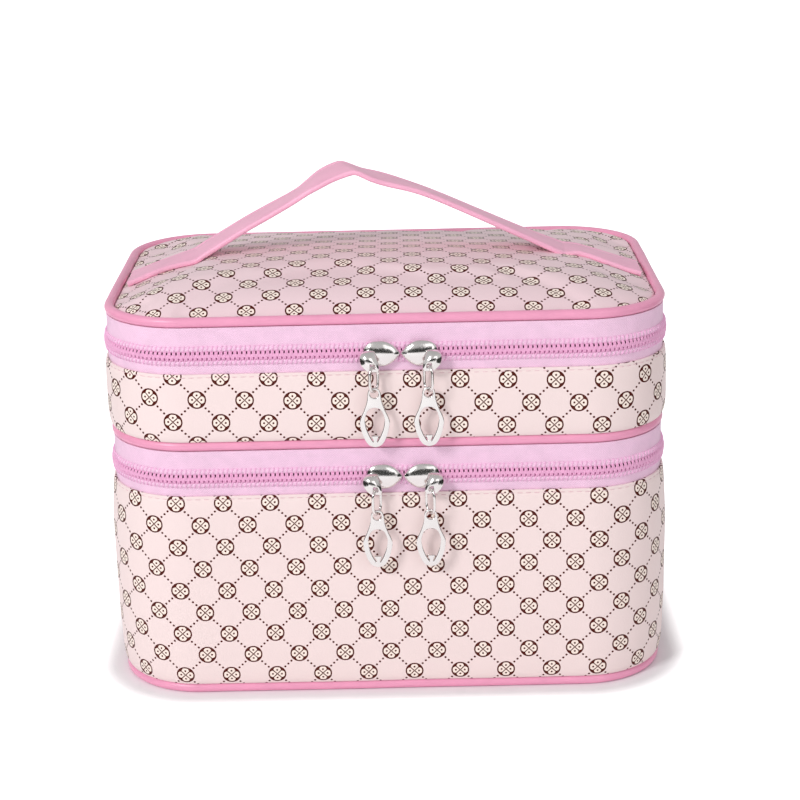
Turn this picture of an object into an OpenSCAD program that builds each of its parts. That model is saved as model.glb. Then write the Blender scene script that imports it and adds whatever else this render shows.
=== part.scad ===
// Soft two-storey vanity case with a strap handle.
// A deep base, a shallow tray and a padded lid stand on each other. Each joint between two of
// them is a zip round the front and sides and a flexible strip across the back, which is the hinge.
// X runs along the front, -Y is the front and +Z is up. The base stands on Z = 0.

/* [Plan] */
// Length between the seams of the two short sides
seam_l = 227; // [200:1:260]
// Width between the front and the back seam
seam_w = 152; // [130:1:180]
// Plan radius of the upright corners, on the seam
corner_r = 34; // [26:1:44]

/* [Heights] */
// Height of the printed wall of the base
base_wall_h = 83; // [60:1:120]
// Height of the printed wall of the tray
tray_wall_h = 28.4; // [20:0.2:50]
// Tape that shows between a wall's edge and the coil above it
tape_below = 7.4; // [6.6:0.2:10]
// Tape that shows between a coil and the piping above it
tape_above = 11.3; // [10:0.1:14]
// Depth of tape that is sewn in behind a wall's edge
seam_lap = 6; // [4:0.5:8]

/* [Layers] */
// Thickness of the printed leatherette
skin_t = 1; // [0.8:0.1:1.4]
// Thickness of the foam in the walls
foam_t = 2.9; // [2.9:0.1:4]
// Thickness of the lining cloth
lining_t = 0.5; // [0.4:0.1:0.8]
// Thickness of the stiffening boards
board_t = 2; // [1.5:0.1:2.2]
// Diameter of the piping
pipe_d = 4; // [4:0.1:5]
// How far the piping's middle lies inside the seam of the walls
pipe_in = 1.5; // [1:0.1:2]
// Slack between layers that are sewn or glued together
fit = 0.05; // [0.04:0.01:0.06]

/* [Lid pad] */
// Height that the pad rolls up at its edge
roll_h = 5; // [3:0.5:7]
// Width of that rolled edge
roll_w = 13; // [8:1:18]
// Further rise of the pad to its middle
dome_h = 4.5; // [2:0.5:8]

/* [Zips] */
// Thickness of the zip tape
tape_t = 0.6; // [0.5:0.1:0.7]
// Height of one half of the coil
coil_h = 1.5; // [1.2:0.1:1.8]
// Thickness of the coil, front to back
coil_t = 1.5; // [1.2:0.1:1.7]
// Gap between the two halves, which the slider's post runs in
zip_gap = 0.9; // [0.8:0.1:1.2]
// Length of the back strip that hinges two storeys
hinge_l = 124; // [90:2:150]

/* [Sliders] */
// Length of a slider's plates
slider_l = 14.4; // [13:0.2:16]
// Height of a slider's plates
slider_h = 9.4; // [8.4:0.2:10]
// Thickness of each of its plates
plate_t = 1.2; // [1:0.1:1.4]
// Running clearance between a slider and its tape and coil
slide_gap = 0.4; // [0.3:0.05:0.5]
// Thickness of the post between the plates
post_t = 0.5; // [0.4:0.05:0.55]
// How far the loop's bar stands off the front plate
loop_out = 3.6; // [3.4:0.1:4.6]
// How far the loop's bar hangs under the coil
loop_drop = 5.6; // [5.4:0.1:6.4]
// Thickness of the loop's wire
loop_d = 1.7; // [1.4:0.1:1.9]
// Distance between the loop's legs
loop_l = 6.4; // [5.6:0.2:7]
// Radius of the loop's two bends
loop_bend = 1.6; // [1:0.1:2]
// How far the loop sits from the slider's middle, towards its tail
loop_x = 3.2; // [2:0.1:4]
// Half of the distance between two closed sliders
nose_gap = 0.3; // [0.2:0.1:1]
// Where the closed sliders meet on the front
meet_x = 6; // [-10:1:10]

/* [Pulls] */
// Thickness of the link's wire
link_d = 1.2; // [1:0.1:1.3]
// Width of the link across its wire's middle
link_w = 6.2; // [6:0.1:6.6]
// Length of the link's straight sides
link_straight = 4; // [3:0.5:6]
// Play of a link on the wire that it hangs from
link_play = 0.2; // [0.15:0.05:0.3]
// Length of the puller
puller_l = 24.6; // [21:0.2:28]
// Turn of the hanging links about the upright
link_turn = 30; // [0:1:32]
// Greatest width of the puller
puller_w = 11.8; // [11:0.2:13.4]
// Thickness of the puller
puller_t = 1.4; // [1:0.1:1.6]
// Radius of the hole that the link goes through
eye_r = 1.7; // [1.5:0.05:1.9]
// Width of metal round the holes
rim = 1; // [0.8:0.1:1.3]

/* [Handle] */
// Width of the strap
strap_w = 22; // [18:1:26]
// Thickness of the strap
strap_t = 2.2; // [1.8:0.1:3]
// Where the left end leaves the lid
left_crease_x = -79; // [-86:1:-72]
// Where the right end leaves the lid
right_crease_x = 77; // [70:1:86]
// Where the strap peaks
peak_x = -15; // [-30:1:20]
// Height of the strap's peak over the lid's piping
peak_rise = 45; // [42:1:70]
// Height over the lid at which the strap is free to tip
free_rise = 12; // [12:0.5:16]
// Gap at the two places where the strap starts to tip
tip_gap = 0.3; // [0.2:0.05:0.4]

/* [Hidden] */
$fn = 64;
pipe_r = pipe_d / 2;
// Levels, from the floor up.
base_pipe_z = pipe_r;
base_wall_z = pipe_d + fit;
base_rim_z = base_wall_z + base_wall_h;
lower_zip_z = base_rim_z + tape_below;
tray_pipe_z = lower_zip_z + tape_above + pipe_r;
tray_wall_z = tray_pipe_z + pipe_r + fit;
tray_rim_z = tray_wall_z + tray_wall_h;
upper_zip_z = tray_rim_z + tape_below;
lid_pipe_z = upper_zip_z + tape_above + pipe_r;
// Depths of the layers, measured inwards from the seam outline. The skin lies outside it.
tape_in = 0.1;
coil_out = coil_t - tape_in;
lining_in = fit + foam_t + fit;
binding_in = tape_in + tape_t + fit;
binding_h = 4.8;
// Height of the upright edge of the lid's foam under its roll.
foam_foot = 0.4;
panel_in = pipe_in + pipe_r + fit;
// The back hinges turn just outside the coil.
axis_play = 0.1;
hinge_y = seam_w / 2 + coil_out + axis_play;
// The slider's plates, measured outwards from the seam plane.
back_plate_y = -tape_in - tape_t - slide_gap;
front_plate_y = coil_out + slide_gap;
front_face_y = front_plate_y + plate_t;
bar_y = front_face_y + loop_out;
loop_r = loop_d / 2;
link_r = link_d / 2;
bend_r = link_w / 2;
// The link hangs on the bar, and the puller on the link.
link_top = loop_r + link_r + link_play;
link_foot = link_top - link_w - link_straight;
eye_drop = eye_r - link_r - link_play;
slider_x = nose_gap + slider_l / 2;
// The plates' outline: the flat of the nose, and how far the tail lies inside its corners.
nose_flat = 0.4;
tail_in = 0.6;
tail_x = 1.6;
// The post between the plates, the lip under the coil and the rise of the loop's foot.
post_at = 3;
post_l = 3;
lip_at = -2;
lip_l = 6;
lip_t = 1;
lip_in = 0.2;
foot_rise = 0.6;
// The lid pad's rings, as depths inwards from its edge, and its points along a side and a corner.
pad_rings = [0, 0.5, 1.6, 3.6, 6.5, 10, 14, 22, 34, 48, 62];
pad_long = 8;
pad_short = 5;
pad_corner = 6;
pad_a = seam_l / 2 - panel_in;
pad_b = seam_w / 2 - panel_in;
pad_r = corner_r - panel_in;
pad_least_r = 2;
// Strap curve: how far each side bows out of its chord, and the roundness of the peak.
left_bow = 0.5;
right_bow = 3;
strap_steps = 12;
tab_steps = 8;
strap_lift = 0.15;
// Puller: where its blade is widest, as a share of its length, and the metal round its window.
// The window's middle lies the blade's radius over window_up above that place.
blade_at = 0.57;
blade_rim = 2.4;
foot_r = 2.2;
foot_rim = 3.4;
window_foot_r = 0.7;
window_up = 3;

leatherette = "mistyrose";
piping_pink = "palevioletred";
tape_pink = "plum";
coil_pink = "orchid";
lining_pink = "lightpink";
foam_white = "whitesmoke";
board_grey = "gainsboro";
metal = "silver";

// The case's plan, moved inwards by depth.
module plan(depth) {
    l = seam_l - 2 * depth;
    w = seam_w - 2 * depth;
    r = corner_r - depth;
    square([l - 2 * r, w], center = true);
    square([l, w - 2 * r], center = true);
    for (x = [-1, 1], y = [-1, 1])
        translate([x * (l / 2 - r), y * (w / 2 - r)])
            circle(r);
}

// A wall between two depths from the seam, standing from z0 to z1.
module wall(outer, inner, z0, z1) {
    translate([0, 0, z0])
        linear_extrude(z1 - z0)
            difference() {
                plan(outer);
                plan(inner);
            }
}

// A flat panel inside the piping.
module panel(z0, thickness) {
    translate([0, 0, z0])
        linear_extrude(thickness)
            plan(panel_in);
}

// Piping round the seam at height z.
module piping(z) {
    l = seam_l / 2 - corner_r;
    w = seam_w / 2 - corner_r;
    bend = corner_r - pipe_in;
    translate([0, 0, z])
        for (side = [-1, 1]) {
            translate([-l, side * (w + bend), 0])
                rotate([0, 90, 0])
                    cylinder(h = 2 * l, r = pipe_r);
            translate([side * (l + bend), w, 0])
                rotate([90, 0, 0])
                    cylinder(h = 2 * w, r = pipe_r);
            for (end = [-1, 1])
                translate([side * l, end * w, 0])
                    rotate([0, 0, side > 0 ? (end > 0 ? 0 : -90) : (end > 0 ? 90 : 180)])
                        rotate_extrude(angle = 90)
                            translate([bend, 0])
                                circle(pipe_r);
        }
}

// The block that holds the back hinge, to cut a ring with or to keep.
module hinge_block(length, z0, z1) {
    translate([-length / 2, seam_w / 2 - corner_r / 2, z0])
        cube([length, corner_r, z1 - z0]);
}

// A zip tape: a ring that stops at the back strip.
module tape(z0, z1) {
    difference() {
        wall(tape_in, tape_in + tape_t, z0, z1);
        hinge_block(hinge_l + 2 * fit, z0 - 1, z1 + 1);
    }
}

// One half of a coil, which lies on the outside of its tape.
module coil(z0) {
    difference() {
        wall(-coil_out, tape_in - fit, z0, z0 + coil_h);
        hinge_block(hinge_l + 2 * fit, z0 - 1, z0 + coil_h + 1);
    }
}

// The back strip between two tapes' ends.
module hinge_flap(z0, z1) {
    intersection() {
        wall(tape_in, tape_in + tape_t, z0, z1);
        hinge_block(hinge_l, z0 - 1, z1 + 1);
    }
}

// The foam behind a wall's skin, cut thinner along the top, where the tape is sewn in.
module wall_foam(z0, rim_z) {
    wall(fit, fit + foam_t, z0, rim_z - seam_lap - fit);
    wall(binding_in, fit + foam_t, rim_z - seam_lap - fit, rim_z);
}

module wall_lining(z0, rim_z) {
    wall(lining_in, lining_in + lining_t, z0, rim_z);
}

// The binding of the seam under a piping.
module seam_binding(pipe_z) {
    wall(binding_in, panel_in - fit, pipe_z - pipe_r - binding_h, pipe_z - pipe_r - fit);
}

module lower_tape(rim_z, zip_z) {
    tape(rim_z - seam_lap, zip_z - zip_gap / 2);
}

module upper_tape(zip_z, pipe_z) {
    tape(zip_z + zip_gap / 2, pipe_z - pipe_r - fit);
}

// Height of the lid pad's edge roll, at a depth from its edge.
function roll(depth) = let(s = 1 - min(depth / roll_w, 1)) roll_h * sqrt(1 - s * s);

// Height of the lid pad over its edge at x, y.
function dome(x, y) = dome_h * (1 - pow(x / pad_a, 2)) * (1 - pow(y / pad_b, 2));

// One round of points on the pad, depth inwards from the edge of a pad that is itself set in.
function pad_ring(set_in, depth) =
    let(
        a = pad_a - set_in - depth,
        b = pad_b - set_in - depth,
        r = max(pad_r - set_in - depth, pad_least_r),
        quarter = [[1, 1], [-1, 1], [-1, -1], [1, -1]]
    )
    [
        for (q = [0:3])
            let(
                c = [quarter[q].x * (a - r), quarter[q].y * (b - r)],
                next = [quarter[(q + 1) % 4].x * (a - r), quarter[(q + 1) % 4].y * (b - r)],
                out = 90 * (q + 1),
                steps = q % 2 == 0 ? pad_long : pad_short
            )
            each concat(
                [for (k = [0:pad_corner]) c + r * [cos(out - 90 + 90 * k / pad_corner),
                                                   sin(out - 90 + 90 * k / pad_corner)]],
                [for (k = [1:steps - 1]) (c + (next - c) * k / steps) + r * [cos(out), sin(out)]]
            )
    ];

// The rings of one pad surface, with their heights, and its middle point last.
function pad_surface(set_in) =
    let(z = lid_pipe_z - set_in)
    concat(
        [
            for (depth = pad_rings)
                for (p = pad_ring(set_in, depth))
                    [p.x, p.y, z + roll(depth) + dome(p.x, p.y)]
        ],
        [[0, 0, z + roll_h + dome_h]]
    );

pad_count = 4 * pad_corner + 4 + 2 * (pad_long - 1) + 2 * (pad_short - 1);
pad_levels = len(pad_rings);

// Triangles of a pad surface whose points start at first, seen from above when up is true.
function pad_faces(first, up) =
    let(
        middle = first + pad_levels * pad_count,
        turn = function (t) up ? t : [t[2], t[1], t[0]]
    )
    concat(
        [
            for (j = [0:pad_levels - 2], i = [0:pad_count - 1])
                let(
                    k = (i + 1) % pad_count,
                    p = first + j * pad_count,
                    q = p + pad_count
                )
                each [turn([p + i, q + i, p + k]), turn([p + k, q + i, q + k])]
        ],
        [
            for (i = [0:pad_count - 1])
                let(p = first + (pad_levels - 1) * pad_count)
                turn([p + i, middle, p + (i + 1) % pad_count])
        ]
    );

// Triangles that join the edge rings of two surfaces, the first of which is the upper one.
function edge_faces(upper, lower) =
    [
        for (i = [0:pad_count - 1])
            let(k = (i + 1) % pad_count)
            each [[upper + i, upper + k, lower + i], [upper + k, lower + k, lower + i]]
    ];

pad_points = pad_levels * pad_count + 1;

module lid_cover() {
    color(leatherette)
        polyhedron(
            points = concat(pad_surface(0), pad_surface(skin_t)),
            faces = concat(pad_faces(0, true), pad_faces(pad_points, false), edge_faces(0, pad_points))
        );
}

// The pad is crowned on top and flat where it lies on the board.
module lid_foam() {
    set_in = skin_t + fit;
    foot = lid_pipe_z - set_in - foam_foot;
    top = pad_surface(set_in);
    edge = [for (i = [0:pad_count - 1]) [top[i].x, top[i].y, foot]];
    base = pad_points;
    middle = base + pad_count;
    color(foam_white)
        polyhedron(
            points = concat(top, edge, [[0, 0, foot]]),
            faces = concat(
                pad_faces(0, true),
                edge_faces(0, base),
                [for (i = [0:pad_count - 1]) [base + (i + 1) % pad_count, middle, base + i]]
            )
        );
}

lid_board_z = lid_pipe_z - skin_t - fit - foam_foot - fit - board_t;
lid_lining_z = lid_board_z - fit - lining_t;

// Height of the lid's top over x on its middle line.
function lid_top(x) = lid_pipe_z + roll(pad_a - abs(x)) + dome(x, 0);

// The strap's middle line. Each side is a bowed curve from its crease to the peak.
crease_z = function (x) lid_top(x) + strap_lift + strap_t / 2;
peak = [peak_x, lid_pipe_z + peak_rise];
left_crease = [left_crease_x, crease_z(left_crease_x)];
right_crease = [right_crease_x, crease_z(right_crease_x)];

function bowed(from, to, bow, t) =
    let(
        d = to - from,
        n = [-d.y, d.x] / norm(d)
    )
    from + d * t + n * (bow * 4 * t * (1 - t));

left_arch = [for (k = [0:strap_steps]) bowed(left_crease, peak, left_bow, k / strap_steps)];
right_arch = [for (k = [1:strap_steps]) bowed(peak, right_crease, right_bow, k / strap_steps)];
left_tab = [
    for (k = [0:tab_steps - 1])
        let(x = -pad_a + strap_t + (left_crease_x + pad_a - strap_t) * k / tab_steps)
        [x, crease_z(x)]
];
right_tab = [
    for (k = [1:tab_steps])
        let(x = right_crease_x + (pad_a - strap_t - right_crease_x) * k / tab_steps)
        [x, crease_z(x)]
];
strap_line = concat(left_tab, left_arch, right_arch, right_tab);

// A point's offset from the middle line, square to it.
function strap_side(i, offset) =
    let(
        last = len(strap_line) - 1,
        d = strap_line[min(i + 1, last)] - strap_line[max(i - 1, 0)]
    )
    strap_line[i] + [-d.y, d.x] / norm(d) * offset;

module strap() {
    last = len(strap_line) - 1;
    translate([0, strap_w / 2, 0])
        rotate([90, 0, 0])
            linear_extrude(strap_w)
                polygon(concat(
                    [for (i = [0:last]) strap_side(i, strap_t / 2)],
                    [for (i = [last:-1:0]) strap_side(i, -strap_t / 2)]
                ));
}

// Where the rising strap is free_rise over the lid, on each side of the peak.
free_z = lid_pipe_z + roll_h + dome_h + free_rise;
left_free_x = lookup(free_z, [for (p = left_arch) [p.y, p.x]]);
right_free_x = lookup(free_z, [for (p = right_arch) [p.y, p.x]]);

module strap_slice(x0, x1) {
    intersection() {
        strap();
        translate([x0, -strap_w, 0])
            cube([x1 - x0, 2 * strap_w, lid_pipe_z + 2 * peak_rise]);
    }
}

// The slider's plate: pointed at the nose, which meets the other slider, and blunt at its tail.
module plate_outline() {
    r = (pow(slider_l / 2, 2) + pow(slider_h / 2, 2)) / slider_h;
    intersection() {
        union() {
            intersection() {
                translate([0, r - slider_h / 2])
                    circle(r);
                translate([0, slider_h / 2 - r])
                    circle(r);
            }
            translate([0, -slider_h / 2 + tail_in])
                square([slider_l / 2 - tail_x, slider_h - 2 * tail_in]);
            translate([slider_l / 2 - tail_x, 0])
                circle(slider_h / 2 - tail_in);
        }
        translate([-slider_l / 2 + nose_flat, -slider_h / 2])
            square([slider_l - nose_flat, slider_h]);
    }
}

// A slider in its own place: X runs from its nose to its tail, Y outwards and Z up.
module slider() {
    plate_at = [back_plate_y - plate_t, front_plate_y];
    color(metal) {
        for (y = plate_at)
            translate([0, y + plate_t, 0])
                rotate([90, 0, 0])
                    linear_extrude(plate_t)
                        plate_outline();
        // The post between the plates runs in the gap of the zip.
        translate([-slider_l / 2 + post_at, back_plate_y - plate_t / 2, -post_t / 2])
            cube([post_l, front_plate_y - back_plate_y + plate_t, post_t]);
        // The lip under the coil keeps the slider on its lower tape.
        translate([lip_at, tape_in + slide_gap, -slider_h / 2 + lip_in])
            cube([lip_l, front_plate_y - slide_gap, lip_t]);
        slider_loop();
    }
}

// The loop leans out and down from the front plate, and its bar carries the link.
module slider_loop() {
    foot_y = front_plate_y + plate_t / 2;
    foot_z = foot_rise - slider_h / 4;
    reach = [bar_y - foot_y, foot_z + loop_drop];
    leg_l = norm(reach) - loop_bend;
    translate([loop_x, foot_y, foot_z])
        rotate([atan2(reach.x, reach.y), 0, 0])
            for (side = [0, 1])
                mirror([side, 0, 0]) {
                    translate([loop_l / 2, 0, -leg_l])
                        cylinder(h = leg_l, r = loop_r);
                    translate([loop_l / 2 - loop_bend, 0, -leg_l])
                        rotate([-90, 0, 0])
                            rotate_extrude(angle = 90)
                                translate([loop_bend, 0])
                                    circle(loop_r);
                    translate([0, 0, -leg_l - loop_bend])
                        rotate([0, 90, 0])
                            cylinder(h = loop_l / 2 - loop_bend, r = loop_r);
                }
}

// An oval link that hangs on the bar, turned about the upright.
module link() {
    color(metal)
        translate([loop_x, bar_y, link_top - loop_drop - bend_r])
            rotate([0, 0, -link_turn]) {
                for (y = [-bend_r, bend_r])
                    translate([0, y, -link_straight])
                        cylinder(h = link_straight, r = link_r);
                for (end = [0, 1])
                    translate([0, 0, -end * link_straight])
                        rotate([0, 90, 0])
                            rotate([0, 0, end == 0 ? 90 : -90])
                                rotate_extrude(angle = 180)
                                    translate([bend_r, 0])
                                        circle(link_r);
            }
}

// A leaf-shaped puller with an eye for the link and a window in its blade.
module puller() {
    eye_z = link_foot - loop_drop - eye_drop;
    top_z = eye_z + eye_r + rim;
    blade_r = puller_w / 2;
    blade_z = top_z - puller_l * blade_at;
    foot_z = top_z - puller_l + foot_r;
    window_r = blade_r - blade_rim;
    color(metal)
        translate([loop_x, bar_y + puller_t / 2, 0])
            rotate([90, 0, 0])
                linear_extrude(puller_t)
                    difference() {
                        union() {
                            round_taper(eye_z, eye_r + rim, blade_z, blade_r);
                            round_taper(blade_z, blade_r, foot_z, foot_r);
                        }
                        translate([0, eye_z])
                            circle(eye_r);
                        round_taper(blade_z + blade_r / window_up, window_r, foot_z + foot_rim, window_foot_r);
                    }
}

// Two circles on the middle line and all that lies between them.
module round_taper(z1, r1, z2, r2) {
    hull() {
        translate([0, z1])
            circle(r1, $fn = 32);
        translate([0, z2])
            circle(r2, $fn = 32);
    }
}

// Puts a slider, link or puller in front of a zip, on one side of the middle.
module on_zip(side, zip_z) {
    translate([meet_x + side * slider_x, -seam_w / 2, zip_z])
        mirror([side > 0 ? 0 : 1, 0, 0])
            mirror([0, 1, 0])
                children();
}

color(leatherette) wall(-skin_t, 0, base_wall_z, base_rim_z);  // base_cover
color(foam_white) wall_foam(base_wall_z, base_rim_z);  // base_wall_foam
color(lining_pink) wall_lining(base_wall_z, base_rim_z);  // base_wall_lining
color(piping_pink) piping(base_pipe_z);  // base_piping
color(leatherette) panel(0, skin_t);  // base_bottom_cover
color(board_grey) panel(skin_t + fit, board_t);  // base_bottom_board
color(lining_pink) panel(skin_t + 2 * fit + board_t, lining_t);  // base_bottom_lining
color(tape_pink) lower_tape(base_rim_z, lower_zip_z);  // lower_zip_lower_tape
color(coil_pink) coil(lower_zip_z - zip_gap / 2 - coil_h);  // lower_zip_lower_coil
color(leatherette) hinge_flap(base_rim_z - seam_lap, lower_zip_z - zip_gap / 2);  // lower_hinge_base_flap
color(leatherette) wall(-skin_t, 0, tray_wall_z, tray_rim_z);  // tray_cover
color(foam_white) wall_foam(tray_wall_z, tray_rim_z);  // tray_wall_foam
color(lining_pink) wall_lining(tray_wall_z, tray_rim_z);  // tray_wall_lining
color(piping_pink) piping(tray_pipe_z);  // tray_piping
color(board_grey) panel(tray_pipe_z - board_t / 2, board_t);  // tray_floor_board
color(lining_pink) panel(tray_pipe_z + board_t / 2 + fit, lining_t);  // tray_floor_lining
color(lining_pink) panel(tray_pipe_z - board_t / 2 - fit - lining_t, lining_t);  // tray_under_lining
color(lining_pink) seam_binding(tray_pipe_z);  // tray_seam_binding
color(tape_pink) upper_tape(lower_zip_z, tray_pipe_z);  // lower_zip_upper_tape
color(coil_pink) coil(lower_zip_z + zip_gap / 2);  // lower_zip_upper_coil
color(leatherette) hinge_flap(lower_zip_z + zip_gap / 2, tray_pipe_z - pipe_r - fit);  // lower_hinge_tray_flap
color(tape_pink) lower_tape(tray_rim_z, upper_zip_z);  // upper_zip_lower_tape
color(coil_pink) coil(upper_zip_z - zip_gap / 2 - coil_h);  // upper_zip_lower_coil
color(leatherette) hinge_flap(tray_rim_z - seam_lap, upper_zip_z - zip_gap / 2);  // upper_hinge_tray_flap
lid_cover();
lid_foam();
color(board_grey) panel(lid_board_z, board_t);  // lid_board
color(lining_pink) panel(lid_lining_z, lining_t);  // lid_lining
color(piping_pink) piping(lid_pipe_z);  // lid_piping
color(lining_pink) seam_binding(lid_pipe_z);  // lid_seam_binding
color(tape_pink) upper_tape(upper_zip_z, lid_pipe_z);  // upper_zip_upper_tape
color(coil_pink) coil(upper_zip_z + zip_gap / 2);  // upper_zip_upper_coil
color(leatherette) hinge_flap(upper_zip_z + zip_gap / 2, lid_pipe_z - pipe_r - fit);  // upper_hinge_lid_flap
color(piping_pink) strap_slice(-seam_l, left_free_x - tip_gap);  // handle_left_end
color(piping_pink) strap_slice(right_free_x + tip_gap, seam_l);  // handle_right_end
color(piping_pink) strap_slice(left_free_x, right_free_x);  // handle_strap
on_zip(-1, lower_zip_z) slider();  // lower_left_slider
on_zip(-1, lower_zip_z) link();  // lower_left_link
on_zip(-1, lower_zip_z) puller();  // lower_left_puller
on_zip(1, lower_zip_z) slider();  // lower_right_slider
on_zip(1, lower_zip_z) link();  // lower_right_link
on_zip(1, lower_zip_z) puller();  // lower_right_puller
on_zip(-1, upper_zip_z) slider();  // upper_left_slider
on_zip(-1, upper_zip_z) link();  // upper_left_link
on_zip(-1, upper_zip_z) puller();  // upper_left_puller
on_zip(1, upper_zip_z) slider();  // upper_right_slider
on_zip(1, upper_zip_z) link();  // upper_right_link
on_zip(1, upper_zip_z) puller();  // upper_right_puller
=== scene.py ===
"""Soft two-storey vanity case with two zips and a strap handle, dressed round its packed frame."""

import math

import bmesh
import bpy
import numpy as np
from mathutils import Matrix, Vector, noise
from mathutils.bvhtree import BVHTree


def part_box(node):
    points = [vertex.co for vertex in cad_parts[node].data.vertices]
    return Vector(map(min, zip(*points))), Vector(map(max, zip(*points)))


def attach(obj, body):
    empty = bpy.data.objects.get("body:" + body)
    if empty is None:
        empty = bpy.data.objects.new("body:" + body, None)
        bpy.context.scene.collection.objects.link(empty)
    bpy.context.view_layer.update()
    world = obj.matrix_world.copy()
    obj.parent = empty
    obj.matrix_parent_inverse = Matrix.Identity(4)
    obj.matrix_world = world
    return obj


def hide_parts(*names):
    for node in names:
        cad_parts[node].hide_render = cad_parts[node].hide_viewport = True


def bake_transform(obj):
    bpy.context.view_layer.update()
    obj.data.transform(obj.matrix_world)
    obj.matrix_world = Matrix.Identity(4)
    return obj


bl_info = {
    "name": "Two-storey vanity case",
    "version": (1, 0, 0),
    "blender": (4, 5, 0),
    "location": "View3D > Sidebar > Vanity case",
    "description": "Builds a soft printed vanity case with zips, pulls and a strap handle",
    "category": "Add Mesh",
}

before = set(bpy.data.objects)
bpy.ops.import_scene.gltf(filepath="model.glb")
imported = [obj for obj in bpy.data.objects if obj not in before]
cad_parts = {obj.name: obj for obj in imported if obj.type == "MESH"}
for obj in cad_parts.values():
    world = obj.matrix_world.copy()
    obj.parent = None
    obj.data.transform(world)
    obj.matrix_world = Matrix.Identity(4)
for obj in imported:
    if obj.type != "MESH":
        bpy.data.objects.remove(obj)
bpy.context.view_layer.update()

# Lengths in this file are millimetres; Blender's are metres.
MM = 0.001
UV = "cut"
WELD = 1e-6


def level(node, side):
    """Height of the lowest (0) or highest (1) point of a CAD node."""
    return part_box(node)[side].z / MM


SKIN = 1.0
SEAM_L = 2 * (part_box("base_cover")[1].x / MM - SKIN)
SEAM_W = 2 * (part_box("base_cover")[1].y / MM - SKIN)
CORNER = 34.0
PIPE_R = (level("base_piping", 1) - level("base_piping", 0)) / 2
PIPE_IN = 1.5
PANEL_IN = PIPE_IN + PIPE_R + 0.05
# Half length, half width and corner radius of the panels inside the pipings.
PANEL = (SEAM_L / 2 - PANEL_IN, SEAM_W / 2 - PANEL_IN, CORNER - PANEL_IN)
PIPE_Z = {b: (level(b + "_piping", 0) + level(b + "_piping", 1)) / 2 for b in ("base", "tray", "lid")}
ZIP_Z = {
    z: (level(z + "_zip_lower_tape", 1) + level(z + "_zip_upper_tape", 0)) / 2 for z in ("lower", "upper")
}
WALL = {b: (level(b + "_cover", 0), level(b + "_cover", 1)) for b in ("base", "tray")}
HINGE_L = 2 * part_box("lower_hinge_base_flap")[1].x / MM
# The halves of the zips: zone, side of the zip's middle, body, and the first words of its CAD nodes and
# pieces.
HALVES = (
    ("lower", -1, "base", "lower_zip_lower", "lower_bottom"),
    ("lower", 1, "tray", "lower_zip_upper", "lower_top"),
    ("upper", -1, "tray", "upper_zip_lower", "upper_bottom"),
    ("upper", 1, "lid", "upper_zip_upper", "upper_top"),
)

HALF_L = SEAM_L / 2 - CORNER
HALF_W = SEAM_W / 2 - CORNER
ARC = CORNER * math.pi / 2
# The seam outline from the middle of the back, to the left and round: its breaks, the way it faces, and the
# middle that it turns about.
BREAKS = np.cumsum([0, HALF_L, ARC, 2 * HALF_W, ARC, 2 * HALF_L, ARC, 2 * HALF_W, ARC, HALF_L])
FACING = np.radians([90, 90, 180, 180, 270, 270, 360, 360, 450, 450])
TURN_X = HALF_L * np.array([0, -1, -1, -1, -1, 1, 1, 1, 1, 0])
TURN_Y = HALF_W * np.array([1, 1, 1, -1, -1, -1, -1, 1, 1, 1])
SEAM = float(BREAKS[-1])


def linear(code):
    """Linear RGB of an sRGB hex value."""
    parts = [int(code[i : i + 2], 16) / 255 for i in (0, 2, 4)]
    return tuple(p / 12.92 if p <= 0.04045 else ((p + 0.055) / 1.055) ** 2.4 for p in parts)


def length(name, description, default):
    """A length property, given in millimetres."""
    return bpy.props.FloatProperty(
        name=name, description=description, default=default * MM, min=0, unit="LENGTH", subtype="DISTANCE"
    )


def colour(name, description, code):
    """A colour property, given as an sRGB hex value."""
    return bpy.props.FloatVectorProperty(
        name=name, description=description, default=linear(code), min=0, max=1, size=3, subtype="COLOR"
    )


class CASE_PG_soft(bpy.types.PropertyGroup):
    """Sizes of the soft parts that the frame leaves open."""

    base_puff: length("Base puff", "How far the base's wall swells between its seams", 1.3)
    tray_puff: length("Tray puff", "How far the tray's wall swells between its seams", 0.6)
    ripple: length("Ripple", "Unevenness of the soft walls", 0.4)
    hem_down: length("Hem", "Distance of a hem's stitches from its edge", 1.3)
    hem_pitch: length("Hem stitch", "Distance from stitch to stitch along a hem", 3.4)
    pad_front: length("Pad, front", "Rise of the lid's pad over its piping, towards the front", 12.0)
    pad_back: length("Pad, back", "Rise of the lid's pad over its piping, towards the back", 4.4)
    pad_roll: length("Pad roll", "How far in from its edge the pad's roll dies out", 10.5)
    pad_swell: length("Pad swell", "Most that the pad may swell when its foam presses out", 1.5)
    tab_forward: length("Tab lean", "How far the strap's sewn ends lean to the front", 9.0)


class CASE_PG_zip(bpy.types.PropertyGroup):
    """Sizes of the zips' teeth and stitches."""

    pitch: length("Tooth pitch", "Distance from tooth to tooth along one half of a coil", 1.84)
    wire: length("Coil wire", "Radius of the wire that the coil is wound from", 0.38)
    ridge_out: length("Ridge", "Height of the corded ridge that holds the coil", 0.8)
    stitch: length("Ridge thread", "Radius of the thread that is wound over the ridge", 0.36)
    hem_stitch: length("Hem thread", "Radius of the thread of the hems", 0.14)


class CASE_PG_print(bpy.types.PropertyGroup):
    """Sizes of the printed trellis."""

    repeat: length("Repeat", "Distance from roundel to roundel along a row", 18.9)
    roundel: length("Roundel", "Radius of a roundel", 3.7)
    ring: length("Ring", "Width of a roundel's ring", 0.6)
    petal: length("Petal", "Radius of each of the four leaves", 1.5)
    seed: length("Seed", "Radius of the dot in each leaf", 0.42)
    dot: length("Dot", "Radius of the trellis's dots", 0.46)
    dot_gap: length("Dot gap", "Distance between the trellis's dots", 1.85)


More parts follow.
